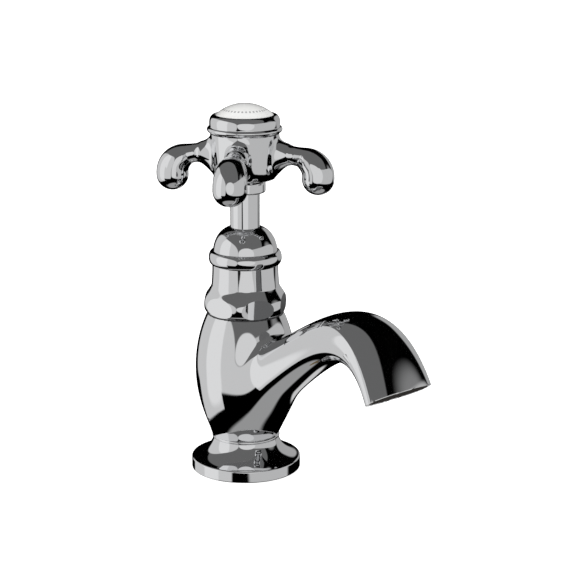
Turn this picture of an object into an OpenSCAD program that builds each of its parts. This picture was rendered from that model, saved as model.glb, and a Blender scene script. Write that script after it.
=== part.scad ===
// Cross-handle pillar tap for a basin, with a quarter-turn ceramic valve.
// Millimetres, +Z up, origin at the centre of the flange's underside, spout towards -Y.

/* [Flange and pedestal] */
// Diameter of the flange that sits on the basin
flange_d = 48; // [44:0.5:58]
// Height of the flange's straight edge
flange_edge_h = 4.6; // [3:0.2:8]
// Diameter of the pedestal's neck, under the vase
neck_d = 28.8; // [28:0.2:34]
// Height of the pedestal's neck
neck_h = 14; // [13.5:0.5:20]
// Height of the small bead between the neck and the vase
neck_bead_h = 1.5; // [1:0.1:3]
// How far the small bead stands out
neck_bead_out = 0.5; // [0.2:0.1:1]

/* [Vase body] */
// Height of the body up to the bonnet
body_h = 70.5; // [64:0.5:86]
// Diameter of the vase at its widest
belly_d = 44; // [40:0.5:54]
// How far the widest level is below the top of the vase
belly_drop = 24.5; // [20:0.5:30]
// Diameter of the vase at its top
lip_d = 33.4; // [33:0.2:40]
// Height of the threaded neck that the bonnet screws onto
body_neck_h = 5.5; // [4:0.5:8]
// Diameter of that threaded neck
body_neck_d = 27; // [26.6:0.2:27.4]

/* [Spout] */
// Reach from the tap's axis to the middle of the mouth
spout_reach = 93; // [78:1:112]
// Height of the middle of the mouth
outlet_h = 54.5; // [44:0.5:62]
// How far below the horizontal the mouth faces, in degrees
outlet_tilt = 53; // [40:1:75]
// Outer width of the mouth
mouth_w = 36.4; // [28:0.2:46]
// Outer height of the mouth
mouth_t = 11; // [9.6:0.2:16]
// Half width of the spout: at the axis, first pull, second pull
spout_half_w = [16.2, 10, 14.8]; // [8:0.2:20]
// Top line: pull distances out from the axis
spout_top_out = [43, 72]; // [30:1:90]
// Top line: heights above the vase's top, at the axis and at the two pulls
spout_top_up = [-17, -5, 42]; // [-30:1:60]
// Underside line: pull distances out from the axis
spout_under_out = [23.5, 69.5]; // [10:1:90]
// Underside line: heights above the neck, at the axis and at the two pulls
spout_under_up = [-2, 18, 74]; // [-6:1:90]
// Wall of the spout
spout_wall = 1.8; // [1.4:0.1:3]
// Squareness of the spout's section, 2 is an ellipse
spout_square = 2.4; // [2:0.1:3]

/* [Bonnet] */
// Diameter over the bonnet's spanner band, corner to corner
bonnet_band_d = 36.6; // [36:0.2:42]
// Distance across the spanner flats
bonnet_af = 33.6; // [32.4:0.2:38]
// Height of the spanner band
bonnet_band_h = 10.6; // [9:0.2:14]
// Diameter of the straight part above the band
bonnet_d = 28.9; // [28.4:0.1:36]
// Height of the straight part's top above the vase
bonnet_straight_top = 22; // [20:0.5:27]
// Diameter of the bead
bonnet_bead_d = 31.8; // [30:0.2:40]
// Height of the bead
bonnet_bead_h = 6; // [4:0.5:8]
// Height of the dome above the bead
bonnet_dome_h = 10; // [9:0.5:14]
// Thickness of the seal between vase and bonnet
bonnet_seal_t = 0.5; // [0.3:0.1:1]

/* [Stem] */
// Diameter of the stem sleeve
stem_d = 12.8; // [12:0.2:15]
// Diameter of the collar under the handle
collar_d = 17.8; // [16:0.2:24]
// Height of that collar
collar_h = 5.7; // [3:0.1:8]
// Gap between the bonnet's top and the collar
stem_show = 15.5; // [8:0.5:24]

/* [Cross handle] */
// Span over two opposite arms
handle_span = 77.6; // [66:0.2:92]
// Turn of the first arm from +X, in degrees
handle_start = 37; // [0:1:89]
// Diameter of the hub at its top
hub_d = 29.6; // [29:0.2:36]
// Height of the hub
hub_h = 20.2; // [19:0.2:26]
// Height of the arms' middle above the hub's underside
arm_up = 11.2; // [10.4:0.2:13]
// Diameter of an arm at its waist
arm_d = 8.3; // [7:0.1:10]
// Droop of the arms, in degrees
arm_droop = 5; // [0:1:10]
// Diameter of an arm's round end
bulb_d = 13.8; // [11:0.1:17]
// How far the round end hangs below the hub's underside
bulb_drop = 5.6; // [1:0.1:7]
// Height of the round end
bulb_h = 18.6; // [15:0.2:22]

/* [Cap and index] */
// Diameter of the cap ring's bead
cap_d = 32.2; // [30.6:0.2:40]
// Height of the cap ring
cap_h = 7.6; // [7:0.1:10]
// Diameter of the porcelain index
index_d = 24.8; // [20:0.2:26]
// Height of the index's dome
index_dome_h = 4.8; // [3:0.1:8]

/* [Valve] */
// Diameter of the headwork's thread and the tail's thread, half-inch pipe
pipe_d = 20.955; // [20.955]
// Diameter of the waterway through the tail
tail_bore_d = 14; // [12:0.5:15]
// Length of the tail below the flange
tail_l = 50; // [44:1:70]
// Diameter of the two ceramic discs
disc_d = 16.4; // [14:0.2:16.8]
// Thickness of each ceramic disc
disc_t = 3; // [2:0.2:3.4]
// Diameter of the spindle in its housing
spindle_d = 10; // [9:0.2:11]
// Diameter of the spindle inside the sleeve
spindle_top_d = 8; // [7:0.2:8.4]
// Across the flats of the spindle's square end
square_w = 5.4; // [4.8:0.1:5.6]
// Thickness of the basin's deck
deck_t = 12; // [6:1:18]

/* [Hidden] */
$fn = 96;
fit = 0.05;
cut = 1;
steps = 8;

// Levels, worked upwards from the basin
neck_r = neck_d / 2;
vase_z = neck_h + neck_bead_h;
belly_z = body_h - belly_drop;
seat_z = body_h - 26.5;
gallery_z = seat_z + 2;
gallery_top_z = seat_z + 14;
gallery_r = 13;
body_top_z = body_h + body_neck_h;
bonnet_z = body_h + bonnet_seal_t;
band_top_z = body_h + bonnet_band_h;
bead_z = body_h + bonnet_straight_top;
dome_z = bead_z + bonnet_bead_h;
bonnet_top_z = dome_z + bonnet_dome_h;
collar_z = bonnet_top_z + stem_show;
hub_z = collar_z + collar_h;
hub_top_z = hub_z + hub_h;
arm_z = hub_z + arm_up;
cap_top_z = hub_top_z + cap_h;

// Valve pieces, from the seat up
pipe_r = pipe_d / 2;
seal_t = 2;
fixed_z = seat_z + seal_t;
moving_z = fixed_z + disc_t;
driver_z = moving_z + disc_t;
driver_t = 3;
friction_z = driver_z + driver_t;
friction_t = 0.8;
shoulder_z = friction_z + friction_t;
nose_r = disc_d / 2 + 1.4;
washer_t = 0.6;
flange_z = body_top_z + washer_t;
flange_t = 1;
hex_af = 21;
hex_h = 5;
hex_top_z = flange_z + flange_t + hex_h;
housing_top_z = dome_z - 1;
housing_neck_r = 7.5;
circlip_t = 1;
circlip_d = 12.4;
sleeve_z = housing_top_z + circlip_t + 2;

// Bonnet's hollow and the bush in its dome
bush_r = stem_d / 2 + 1.5;
bush_top_z = bonnet_top_z - 2.4;
bush_l = 4;
hollow_r = 12.5;
hollow_top_z = dome_z - 0.5;

// Handle's inside
insert_l = 10;
insert_r = 6;
web_z = hub_z + insert_l + 0.5;
cavity_z = web_z + 3;
cavity_r = 11;
screw_washer_t = 0.8;
screw_d = 4;
screw_head_d = 8;
screw_head_h = 3.2;
skirt_z = hub_top_z - 3.4;
cap_floor_z = hub_top_z + 2.4;
index_seal_t = 0.6;
index_seat_z = cap_floor_z + 1.5;
index_z = index_seat_z + index_seal_t;
index_rim_z = cap_top_z - 0.1;

// Under the deck
gasket_r = 17.2;
gasket_t = 1.6;
tail_seal_t = 1.5;
tail_top_z = neck_h - 0.5;
rubber_t = 3;
metal_t = 1.5;
nut_h = 8;
nut_af = 27;
nut_z = -deck_t - rubber_t - metal_t - nut_h;
groove_w = 2;
groove_z = nut_z - 1 - groove_w;

// Cubic curve through p[0] to p[3], as n chords
function bez(p, n = steps) = [for (i = [0 : n]) let (t = i / n)
    pow(1 - t, 3) * p[0] + 3 * pow(1 - t, 2) * t * p[1] + 3 * (1 - t) * t * t * p[2] + pow(t, 3) * p[3]];

// The same list without its first point, for joining curves
function tail_of(list) = [for (i = [1 : len(list) - 1]) list[i]];

module ring(inner, outer, z, h) {
    translate([0, 0, z])
        difference() {
            cylinder(r = outer, h = h);
            translate([0, 0, -cut])
                cylinder(r = inner, h = h + 2 * cut);
        }
}

module tube_cut(r, z0, z1) {
    translate([0, 0, z0])
        cylinder(r = r, h = z1 - z0);
}

// Body: outline of flange, pedestal cove, bead and vase
flange_r = flange_d / 2;
edge_round = 0.6;
belly_r = belly_d / 2;
lip_r = lip_d / 2;
cove = bez([[flange_r - edge_round, flange_edge_h + edge_round],
    [flange_r - 4.5, flange_edge_h + 1.6], [neck_r + 0.8, neck_h - 4.7], [neck_r, neck_h]]);
lower_vase = bez([[neck_r, vase_z], [neck_r + 2.9, vase_z + 6.5],
    [belly_r, belly_z - 14], [belly_r, belly_z]]);
upper_vase = bez([[belly_r, belly_z], [belly_r, belly_z + 8],
    [lip_r + 3.6, body_h - 7.5], [lip_r, body_h]]);
body_outline = concat([[0, 0], [flange_r, 0], [flange_r, flange_edge_h]], cove,
    [[neck_r + neck_bead_out, neck_h + 0.4], [neck_r + neck_bead_out, vase_z - 0.4]],
    lower_vase, tail_of(upper_vase), [[body_neck_d / 2, body_h],
    [body_neck_d / 2, body_top_z], [0, body_top_z]]);

// Spout: top and underside lines in the [out, up] plane, and its half width
lip_dir = [sin(outlet_tilt), cos(outlet_tilt)];
mouth = [spout_reach, outlet_h];
sections = 18;
around = 26;
top_line = bez([[0, body_h + spout_top_up[0]], [spout_top_out[0], body_h + spout_top_up[1]],
    [spout_top_out[1], body_h + spout_top_up[2]], mouth + lip_dir * mouth_t / 2], sections);
under_line = bez([[0, neck_h + spout_under_up[0]], [spout_under_out[0], neck_h + spout_under_up[1]],
    [spout_under_out[1], neck_h + spout_under_up[2]], mouth - lip_dir * mouth_t / 2], sections);
half_w = bez([spout_half_w[0], spout_half_w[1], spout_half_w[2], mouth_w / 2], sections);
bore_half_t = 5.5;
bore_start = 2;

function unit(v) = v / norm(v);
function super(c) = sign(c) * pow(abs(c), 2 / spout_square);

// One ring of points: centre m, lip direction d, half height h, half width w
function section(m, d, h, w) = [for (j = [0 : around - 1]) let (a = 360 * j / around)
    [w * super(cos(a)), -(m[0] + d[0] * h * super(sin(a))), m[1] + d[1] * h * super(sin(a))]];
outer_rings = [for (i = [1 : sections])
    section((top_line[i] + under_line[i]) / 2, unit(top_line[i] - under_line[i]),
        outer_half(i), half_w[i])];

// Waterway: hangs one wall below the top line and opens through the mouth
function bore_half(i) = bore_half_t + (mouth_t / 2 - spout_wall - bore_half_t) * i / sections;
function bore_mid(i) = top_line[i] - unit(top_line[i] - under_line[i]) * (spout_wall + bore_half(i));
mouth_out = [cos(outlet_tilt), -sin(outlet_tilt)] * cut;

// The bore's half width leaves one wall beside it where the outer section narrows towards its top
function outer_half(i) = norm(top_line[i] - under_line[i]) / 2;
function shoulder(i) = (outer_half(i) - spout_wall - bore_half(i) * 0.4) / outer_half(i);
function bore_w(i) = half_w[i] * pow(1 - pow(shoulder(i), spout_square), 1 / spout_square) - spout_wall;
bore_rings = concat([for (i = [bore_start : sections])
    section(bore_mid(i), unit(top_line[i] - under_line[i]), bore_half(i), bore_w(i))],
    [section(bore_mid(sections) + mouth_out, lip_dir, bore_half(sections), bore_w(sections))]);

// Closed solid through a list of equal rings
module loft(rings) {
    n = len(rings[0]);
    last = (len(rings) - 1) * n;
    sides = [for (i = [0 : len(rings) - 2], j = [0 : n - 1], k = [0, 1])
        let (a = i * n + j, b = i * n + (j + 1) % n)
        k == 0 ? [a, b + n, b] : [a, a + n, b + n]];
    near = [for (j = [0 : n - 1]) j];
    far = [for (j = [n - 1 : -1 : 0]) last + j];
    polyhedron(points = [for (r = rings, p = r) p], faces = concat(sides, [near, far]));
}

module body_casting() {
    color("silver")
        difference() {
            union() {
                rotate_extrude()
                    polygon(body_outline);
                loft(outer_rings);
            }
            loft(bore_rings);
            tube_cut(gasket_r, -cut, gasket_t);
            tube_cut(pipe_r + fit, -cut, tail_top_z + tail_seal_t);
            tube_cut(tail_bore_d / 2, 0, seat_z + cut);
            tube_cut(nose_r + fit, seat_z, gallery_z + cut);
            tube_cut(gallery_r, gallery_z, gallery_top_z);
            tube_cut(pipe_r + fit, gallery_top_z - cut, body_top_z + cut);
        }
}

module base_gasket() {
    color("dimgray")
        ring(pipe_r + 2 * fit, gasket_r - 2 * fit, 0, gasket_t);
}

module threaded_tail() {
    color("goldenrod")
        difference() {
            tube_cut(pipe_r, -tail_l, tail_top_z);
            tube_cut(tail_bore_d / 2, -tail_l - cut, tail_top_z + cut);
            ring(pipe_r - 1, pipe_r + cut, groove_z, groove_w);
        }
}

module tail_seal() {
    color("dimgray")
        ring(tail_bore_d / 2 + 0.4, pipe_r - 2 * fit, tail_top_z, tail_seal_t);
}

module deck_washer_rubber() {
    color("dimgray")
        ring(pipe_r + fit, 16, -deck_t - rubber_t, rubber_t);
}

module deck_washer_metal() {
    color("gainsboro")
        ring(pipe_r + fit, 15.8, -deck_t - rubber_t - metal_t, metal_t);
}

module backnut() {
    color("goldenrod")
        difference() {
            translate([0, 0, nut_z])
                cylinder(r = nut_af / 2 / cos(30), h = nut_h, $fn = 6);
            tube_cut(pipe_r + fit, nut_z - cut, nut_z + nut_h + cut);
        }
}

module headwork_housing() {
    window_w = 9;
    color("goldenrod")
        difference() {
            union() {
                tube_cut(nose_r, seat_z + 0.4, gallery_top_z + cut);
                tube_cut(pipe_r, gallery_top_z + 0.4, flange_z + cut);
                tube_cut(hollow_r - 0.3, flange_z, flange_z + flange_t);
                translate([0, 0, flange_z + flange_t - fit])
                    cylinder(r = hex_af / 2 / cos(30), h = hex_h + fit, $fn = 6);
                tube_cut(housing_neck_r, hex_top_z - cut, housing_top_z);
            }
            tube_cut(disc_d / 2 + fit, seat_z - cut, shoulder_z);
            tube_cut(spindle_d / 2 + fit, shoulder_z - cut, housing_top_z + cut);
            translate([-window_w / 2, -gallery_r, moving_z])
                cube([window_w, 2 * gallery_r, friction_z - moving_z]);
        }
}

module headwork_seal() {
    color("dimgray")
        ring(pipe_r + fit, hollow_r - 0.4, body_top_z, washer_t);
}

module seat_seal() {
    color("dimgray")
        ring(tail_bore_d / 2 - 0.6, disc_d / 2, seat_z, seal_t);
}

// Wedge of a ring, for the ports of the discs
module wedge(inner, outer, z, h, mid, span) {
    translate([0, 0, z])
        rotate([0, 0, mid - span / 2])
            rotate_extrude(angle = span)
                translate([inner, 0])
                    square([outer - inner, h]);
}

port_span = 76;
port_inner = 1.8;
port_outer = 6.2;

module fixed_disc() {
    color("white")
        difference() {
            tube_cut(disc_d / 2, fixed_z, moving_z);
            for (mid = [90, 270])
                wedge(port_inner, port_outer, fixed_z - cut, disc_t + 2 * cut, mid, port_span);
        }
}

module moving_disc() {
    color("ghostwhite")
        difference() {
            tube_cut(disc_d / 2 - fit, moving_z, driver_z);
            for (mid = [0, 180])
                wedge(port_inner, disc_d, moving_z - cut, disc_t + 2 * cut, mid, port_span);
        }
}

groove_depth = 1.3;
o_ring_w = 2;
o_ring_z = [shoulder_z + 8, shoulder_z + 13];

module spindle() {
    color("khaki")
        difference() {
            union() {
                difference() {
                    tube_cut(disc_d / 2 - fit, driver_z, friction_z);
                    for (mid = [0, 180])
                        wedge(spindle_d / 2, disc_d, driver_z - cut, driver_t + 2 * cut, mid, port_span);
                }
                tube_cut(spindle_d / 2, driver_z, housing_top_z + circlip_t + 1);
                tube_cut(spindle_top_d / 2, housing_top_z, hub_z - cut);
                translate([-square_w / 2, -square_w / 2, hub_z - 2 * cut])
                    cube([square_w, square_w, insert_l + 2 * cut]);
            }
            for (z = o_ring_z)
                ring(spindle_d / 2 - groove_depth, spindle_d, z, o_ring_w);
            ring(spindle_d / 2 - 0.8, spindle_d, housing_top_z, circlip_t);
            tube_cut(screw_d / 2 + fit, hub_z, hub_z + insert_l + cut);
        }
}

module friction_washer() {
    color("steelblue")
        ring(spindle_d / 2 + fit, disc_d / 2 - fit, friction_z, friction_t);
}

module spindle_o_rings() {
    color("dimgray")
        for (z = o_ring_z)
            ring(spindle_d / 2 - groove_depth, spindle_d / 2, z, o_ring_w);
}

module spindle_circlip() {
    color("gainsboro")
        difference() {
            ring(spindle_d / 2 - 0.8, circlip_d / 2, housing_top_z, circlip_t);
            translate([0, -1.5, housing_top_z - cut])
                cube([circlip_d, 3, circlip_t + 2 * cut]);
        }
}

// Bonnet: outline from its skirt to the hole in its dome
band_r = bonnet_band_d / 2;
straight_r = bonnet_d / 2;
bonnet_bead_r = bonnet_bead_d / 2;
bead_mid_z = bead_z + bonnet_bead_h / 2;
band_curve = bez([[band_r, bonnet_z + 4], [band_r, bonnet_z + 8],
    [straight_r + 1, band_top_z - 0.4], [straight_r + 0.3, band_top_z + 2]]);
bead_curve = bez([[straight_r - 0.1, bead_z], [bonnet_bead_r + 0.55, bead_z],
    [bonnet_bead_r + 0.55, dome_z], [straight_r - 0.5, dome_z]]);
dome_curve = bez([[straight_r - 0.5, dome_z], [straight_r - 1, dome_z + 5],
    [straight_r - 3.4, bonnet_top_z - 1.4], [stem_d / 2 + 0.5, bonnet_top_z]]);
bonnet_outline = concat([[0, bonnet_z], [lip_r, bonnet_z], [band_r - 0.4, bonnet_z + 2]], band_curve,
    [[straight_r, bead_z - 2]], bead_curve, tail_of(dome_curve), [[0, bonnet_top_z]]);

module bonnet() {
    color("silver")
        difference() {
            rotate_extrude()
                polygon(bonnet_outline);
            for (k = [0 : 5])
                rotate([0, 0, 7 + 60 * k])
                    translate([bonnet_af / 2, -band_r, bonnet_z - cut])
                        cube([band_r, 2 * band_r, bonnet_band_h + 2 * cut]);
            tube_cut(body_neck_d / 2 + fit, bonnet_z - cut, body_top_z + washer_t);
            tube_cut(hollow_r, body_top_z, hollow_top_z);
            translate([0, 0, hollow_top_z - fit])
                cylinder(r1 = hollow_r, r2 = bush_r + fit, h = 3.5);
            tube_cut(bush_r + fit, hollow_top_z, bush_top_z);
            tube_cut(stem_d / 2 + 0.25, hollow_top_z, bonnet_top_z + cut);
        }
}

module bonnet_seal() {
    color("dimgray")
        ring(body_neck_d / 2 + fit, lip_r - 0.3, body_h, bonnet_seal_t);
}

module stem_guide_bush() {
    color("ivory")
        ring(stem_d / 2 + fit, bush_r, bush_top_z - bush_l, bush_l);
}

module stem_sleeve() {
    color("silver")
        ring(spindle_top_d / 2 + 0.4, stem_d / 2, sleeve_z, collar_z - sleeve_z);
}

module stem_collar() {
    bevel = 0.4;
    collar_r = collar_d / 2;
    bore_r = spindle_top_d / 2 + 0.4;
    color("silver")
        translate([0, 0, collar_z])
            rotate_extrude()
                polygon([[bore_r, 0], [collar_r - bevel, 0], [collar_r, bevel],
                    [collar_r, collar_h - bevel], [collar_r - bevel, collar_h], [bore_r, collar_h]]);
}

// Handle: hub outline, one arm along +X and its hanging round end
hub_r = hub_d / 2;
hub_round = bez([[hub_r - 5.4, hub_z], [hub_r - 1.4, hub_z + 0.4],
    [hub_r - 1.3, hub_z + 5.5], [hub_r, hub_top_z - 2]]);
bulb_r = bulb_d / 2;
bulb_x = handle_span / 2 - bulb_r;
bulb_z = hub_z - bulb_drop;
bulb_mid = bulb_h * 0.4;

module arm_bar() {
    waist = arm_d / 2;
    waist_x = hub_r + 6;
    flare = bez([[0, waist + 3.4], [hub_r - 1, waist + 3.4], [hub_r, waist], [waist_x, waist]]);
    tip = bez([[waist_x, waist], [bulb_x - 4, waist], [bulb_x, waist], [bulb_x + 1, 0]]);
    rotate([0, 90 + arm_droop, 0])
        rotate_extrude()
            polygon([for (p = concat([[0, 0]], flare, tail_of(tip))) [p[1], p[0]]]);
}

module arm_bulb() {
    upper = bez([[0, bulb_h], [bulb_r * 0.47, bulb_h - 0.8],
        [bulb_r, bulb_mid + 5.5], [bulb_r, bulb_mid]]);
    lower = bez([[bulb_r, bulb_mid], [bulb_r, bulb_mid - 4.1], [bulb_r * 0.6, 0], [0, 0]]);
    rotate_extrude()
        polygon(concat(upper, tail_of(lower)));
}

module cross_handle() {
    bar_lift = hub_r * tan(arm_droop);
    color("silver")
        difference() {
            union() {
                rotate_extrude()
                    polygon(concat([[0, hub_z]], hub_round, [[hub_r, hub_top_z], [0, hub_top_z]]));
                for (k = [0 : 3])
                    rotate([0, 0, handle_start + 90 * k]) {
                        translate([0, 0, arm_z + bar_lift])
                            arm_bar();
                        translate([bulb_x, 0, bulb_z])
                            arm_bulb();
                    }
            }
            tube_cut(insert_r + fit, hub_z - cut, web_z);
            tube_cut(screw_d / 2 + 0.3, web_z - cut, cavity_z + cut);
            tube_cut(cavity_r, cavity_z, hub_top_z + cut);
        }
}

module square_insert() {
    color("ivory")
        difference() {
            tube_cut(insert_r, hub_z, web_z);
            translate([-square_w / 2 - fit, -square_w / 2 - fit, hub_z - cut])
                cube([square_w + 2 * fit, square_w + 2 * fit, insert_l + 2 * cut]);
        }
}

module handle_screw() {
    head_z = cavity_z + screw_washer_t;
    color("gainsboro")
        difference() {
            union() {
                tube_cut(screw_d / 2, hub_z + 2, head_z + cut);
                tube_cut(screw_head_d / 2, head_z, head_z + screw_head_h);
            }
            translate([0, 0, head_z + screw_head_h - 1.8])
                cylinder(d = 4.6, h = 3, $fn = 6);
        }
}

module handle_screw_washer() {
    color("gainsboro")
        ring(screw_d / 2 + 0.3, 5.2, cavity_z, screw_washer_t);
}

module cap_ring() {
    cap_r = cap_d / 2;
    index_r = index_d / 2;
    bead_curve = bez([[hub_r - 0.3, hub_top_z], [cap_r + 0.2, hub_top_z],
        [cap_r + 0.6, hub_top_z + 2.4], [cap_r - 1, hub_top_z + 2.6]]);
    crown = bez([[cap_r - 1, hub_top_z + 4.6], [cap_r - 1.1, cap_top_z - 1.2],
        [index_r + 1.8, cap_top_z], [index_r + 0.4, cap_top_z]]);
    color("silver")
        difference() {
            union() {
                rotate_extrude()
                    polygon(concat([[0, hub_top_z]], bead_curve, crown, [[0, cap_top_z]]));
                tube_cut(cavity_r - fit, skirt_z, hub_top_z + fit);
            }
            tube_cut(cavity_r - 1.5, skirt_z - cut, hub_top_z + 0.8);
            tube_cut(index_r + fit, index_seat_z, cap_top_z + cut);
        }
}

module index_seal() {
    color("dimgray")
        ring(5, index_d / 2 - 0.2, index_seat_z, index_seal_t);
}

module index_disc() {
    index_r = index_d / 2;
    dome_r = (index_r * index_r + index_dome_h * index_dome_h) / (2 * index_dome_h);
    color("whitesmoke")
        union() {
            tube_cut(index_r, index_z, index_rim_z);
            translate([0, 0, index_rim_z + index_dome_h - dome_r])
                intersection() {
                    sphere(r = dome_r);
                    tube_cut(index_r, dome_r - index_dome_h, dome_r + cut);
                }
        }
}

body_casting();
base_gasket();
threaded_tail();
tail_seal();
deck_washer_rubber();
deck_washer_metal();
backnut();
headwork_housing();
headwork_seal();
seat_seal();
fixed_disc();
bonnet();
bonnet_seal();
stem_guide_bush();
spindle();
moving_disc();
friction_washer();
spindle_o_rings();
spindle_circlip();
stem_sleeve();
stem_collar();
cross_handle();
square_insert();
handle_screw();
handle_screw_washer();
cap_ring();
index_disc();
index_seal();
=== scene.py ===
import math

import bpy
import numpy as np
from mathutils import Matrix, Vector


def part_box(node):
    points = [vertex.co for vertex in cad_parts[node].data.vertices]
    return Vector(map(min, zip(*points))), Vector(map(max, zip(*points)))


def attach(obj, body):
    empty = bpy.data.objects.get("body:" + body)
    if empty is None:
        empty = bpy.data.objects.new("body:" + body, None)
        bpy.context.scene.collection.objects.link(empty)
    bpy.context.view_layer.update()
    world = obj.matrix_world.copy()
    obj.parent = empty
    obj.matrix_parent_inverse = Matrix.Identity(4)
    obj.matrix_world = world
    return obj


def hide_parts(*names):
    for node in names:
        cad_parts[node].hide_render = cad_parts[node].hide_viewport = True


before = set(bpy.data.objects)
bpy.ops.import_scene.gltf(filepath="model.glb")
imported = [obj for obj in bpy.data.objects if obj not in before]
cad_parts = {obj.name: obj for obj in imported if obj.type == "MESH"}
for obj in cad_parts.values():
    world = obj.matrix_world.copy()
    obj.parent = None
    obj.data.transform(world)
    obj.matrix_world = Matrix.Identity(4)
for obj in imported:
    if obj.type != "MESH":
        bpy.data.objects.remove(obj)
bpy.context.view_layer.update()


# ---------------------------------------------------------------- pedestal
# The foot of the tap: a round flange, a hollow cove up to the neck and a thin bead.
# It is one brass casting with the vase, turned, polished and chrome plated.

MM = 0.001
ROUND = 160                        # corners round a turned piece
long_straight = 1.2 * MM           # a straight wall longer than this gets support rings
support = 0.12 * MM                # from the end of a straight wall to its support ring
pole = 0.01 * MM                   # the smallest radius of a turned piece's rings

casting_low, casting_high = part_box("body_casting")
flange_r = casting_high.x
flange_edge = 4.6 * MM
edge_round = 0.6 * MM
neck_r = 14.4 * MM
neck_z = 14.0 * MM
bead_h = 1.5 * MM
bead_out = 0.5 * MM
vase_z = neck_z + bead_h


def curve(a, b, c, d, count=16):
    """Points of the cubic curve from a to d with its pulls at b and c, as (radius, height)."""
    a, b, c, d = (np.array(p, float) for p in (a, b, c, d))
    t = np.linspace(0, 1, count + 1)[:, None]
    return (1 - t) ** 3 * a + 3 * (1 - t) ** 2 * t * b + 3 * (1 - t) * t * t * c + t**3 * d


def rounded(corner, before, after, radius, count=6):
    """The curve that rounds a corner of an outline between its two neighbours."""
    corner, before, after = (np.array(p, float) for p in (corner, before, after))
    start = corner + (before - corner) / np.linalg.norm(before - corner) * radius
    end = corner + (after - corner) / np.linalg.norm(after - corner) * radius
    return curve(start, start + (corner - start) * 0.55, end + (corner - end) * 0.55, end, count)


def start_piece():
    """Leaves edit mode with nothing selected, ready for the next primitive."""
    if bpy.context.object and bpy.context.object.mode == "EDIT":
        bpy.ops.object.mode_set(mode="OBJECT")
    bpy.ops.object.select_all(action="DESELECT")


def held(outline):
    """The outline with a support point close to both ends of each long straight, so that it shades flat."""
    points = [outline[0]]
    for after in outline[1:]:
        before, length = points[-1], math.dist(points[-1], after)
        if length < 1e-6:
            continue
        if length > long_straight:
            for share in (support / length, 1 - support / length):
                points.append(tuple(a + (b - a) * share for a, b in zip(before, after)))
        points.append(after)
    return points


def turned(name, outline, corners=ROUND):
    """A piece turned on a lathe about the tap's axis: a ring drawn up its outline of (radius, height)."""
    outline = held([tuple(p) for p in outline])
    start_piece()
    radius, height = outline[0]
    bpy.ops.mesh.primitive_circle_add(vertices=corners, radius=max(radius, pole), location=(0, 0, height))
    piece = bpy.context.object
    piece.name = piece.data.name = name
    bpy.ops.object.transform_apply(location=True, rotation=True, scale=True)
    bpy.ops.object.mode_set(mode="EDIT")
    bpy.ops.mesh.select_all(action="SELECT")
    for next_radius, next_height in outline[1:]:
        bpy.ops.mesh.extrude_region_move(
            TRANSFORM_OT_translate={"value": (0, 0, next_height - height)})
        factor = max(next_radius, pole) / max(radius, pole)
        bpy.ops.transform.resize(value=(factor, factor, 1), center_override=(0, 0, next_height))
        radius, height = next_radius, next_height
    bpy.ops.mesh.select_all(action="SELECT")
    bpy.ops.mesh.remove_doubles(threshold=3 * pole)
    bpy.ops.mesh.normals_make_consistent(inside=False)
    bpy.ops.object.mode_set(mode="OBJECT")
    return piece


def smooth(piece, degrees=35):
    """Smooth shading that stays crisp at edges sharper than the given angle."""
    start_piece()
    piece.select_set(True)
    bpy.context.view_layer.objects.active = piece
    bpy.ops.object.shade_smooth_by_angle(angle=math.radians(degrees))
    return piece


def node_of(material, kind, **settings):
    """A shader node with its settings, added to a material."""
    node = material.node_tree.nodes.new(kind)
    for key, value in settings.items():
        if hasattr(node, key):
            setattr(node, key, value)
        else:
            node.inputs[key.replace("_", " ")].default_value = value
    return node


def new_material(name, colour, metallic, roughness):
    """A material with its main shader set, and a node for Object coordinates."""
    material = bpy.data.materials.new(name)
    material.use_nodes = True
    shader = material.node_tree.nodes["Principled BSDF"]
    shader.inputs["Base Color"].default_value = (*colour, 1)
    shader.inputs["Metallic"].default_value = metallic
    shader.inputs["Roughness"].default_value = roughness
    place = material.node_tree.nodes.new("ShaderNodeTexCoord")
    return material, shader, place


def vary(material, place, socket, low, high, scale, detail=3.0, stretch=(1, 1, 1)):
    """Drives a shader socket between two values with a soft noise on the piece."""
    links = material.node_tree.links
    mapping = node_of(material, "ShaderNodeMapping")
    mapping.inputs["Scale"].default_value = stretch
    noise = node_of(material, "ShaderNodeTexNoise", Scale=scale, Detail=detail)
    spread = node_of(material, "ShaderNodeMapRange")
    spread.inputs["From Min"].default_value = 0.3
    spread.inputs["From Max"].default_value = 0.7
    spread.inputs["To Min"].default_value = low
    spread.inputs["To Max"].default_value = high
    links.new(place.outputs["Object"], mapping.inputs["Vector"])
    links.new(mapping.outputs["Vector"], noise.inputs["Vector"])
    links.new(noise.outputs["Fac"], spread.inputs["Value"])
    links.new(spread.outputs["Result"], socket)
    return noise


def roughen(material, shader, height, strength, distance):
    """Adds a bump from a height socket to the shader's normal."""
    bump = node_of(material, "ShaderNodeBump")
    bump.inputs["Strength"].default_value = strength
    bump.inputs["Distance"].default_value = distance
    material.node_tree.links.new(height, bump.inputs["Height"])
    material.node_tree.links.new(bump.outputs["Normal"], shader.inputs["Normal"])


def polished_chrome():
    """Bright nickel-chrome plate: near mirror, with a faint haze and polishing that varies."""
    material, shader, place = new_material("polished_chrome", (0.86, 0.865, 0.875), 1.0, 0.03)
    vary(material, place, shader.inputs["Roughness"], 0.018, 0.05, 90, 4)
    return material


chrome = polished_chrome()


def finish_piece(piece, material, body, *nodes):
    """Gives a piece its material and body, and lets it stand for its CAD nodes."""
    piece.data.materials.clear()
    piece.data.materials.append(material)
    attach(piece, body)
    if nodes:
        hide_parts(*nodes)


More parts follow.
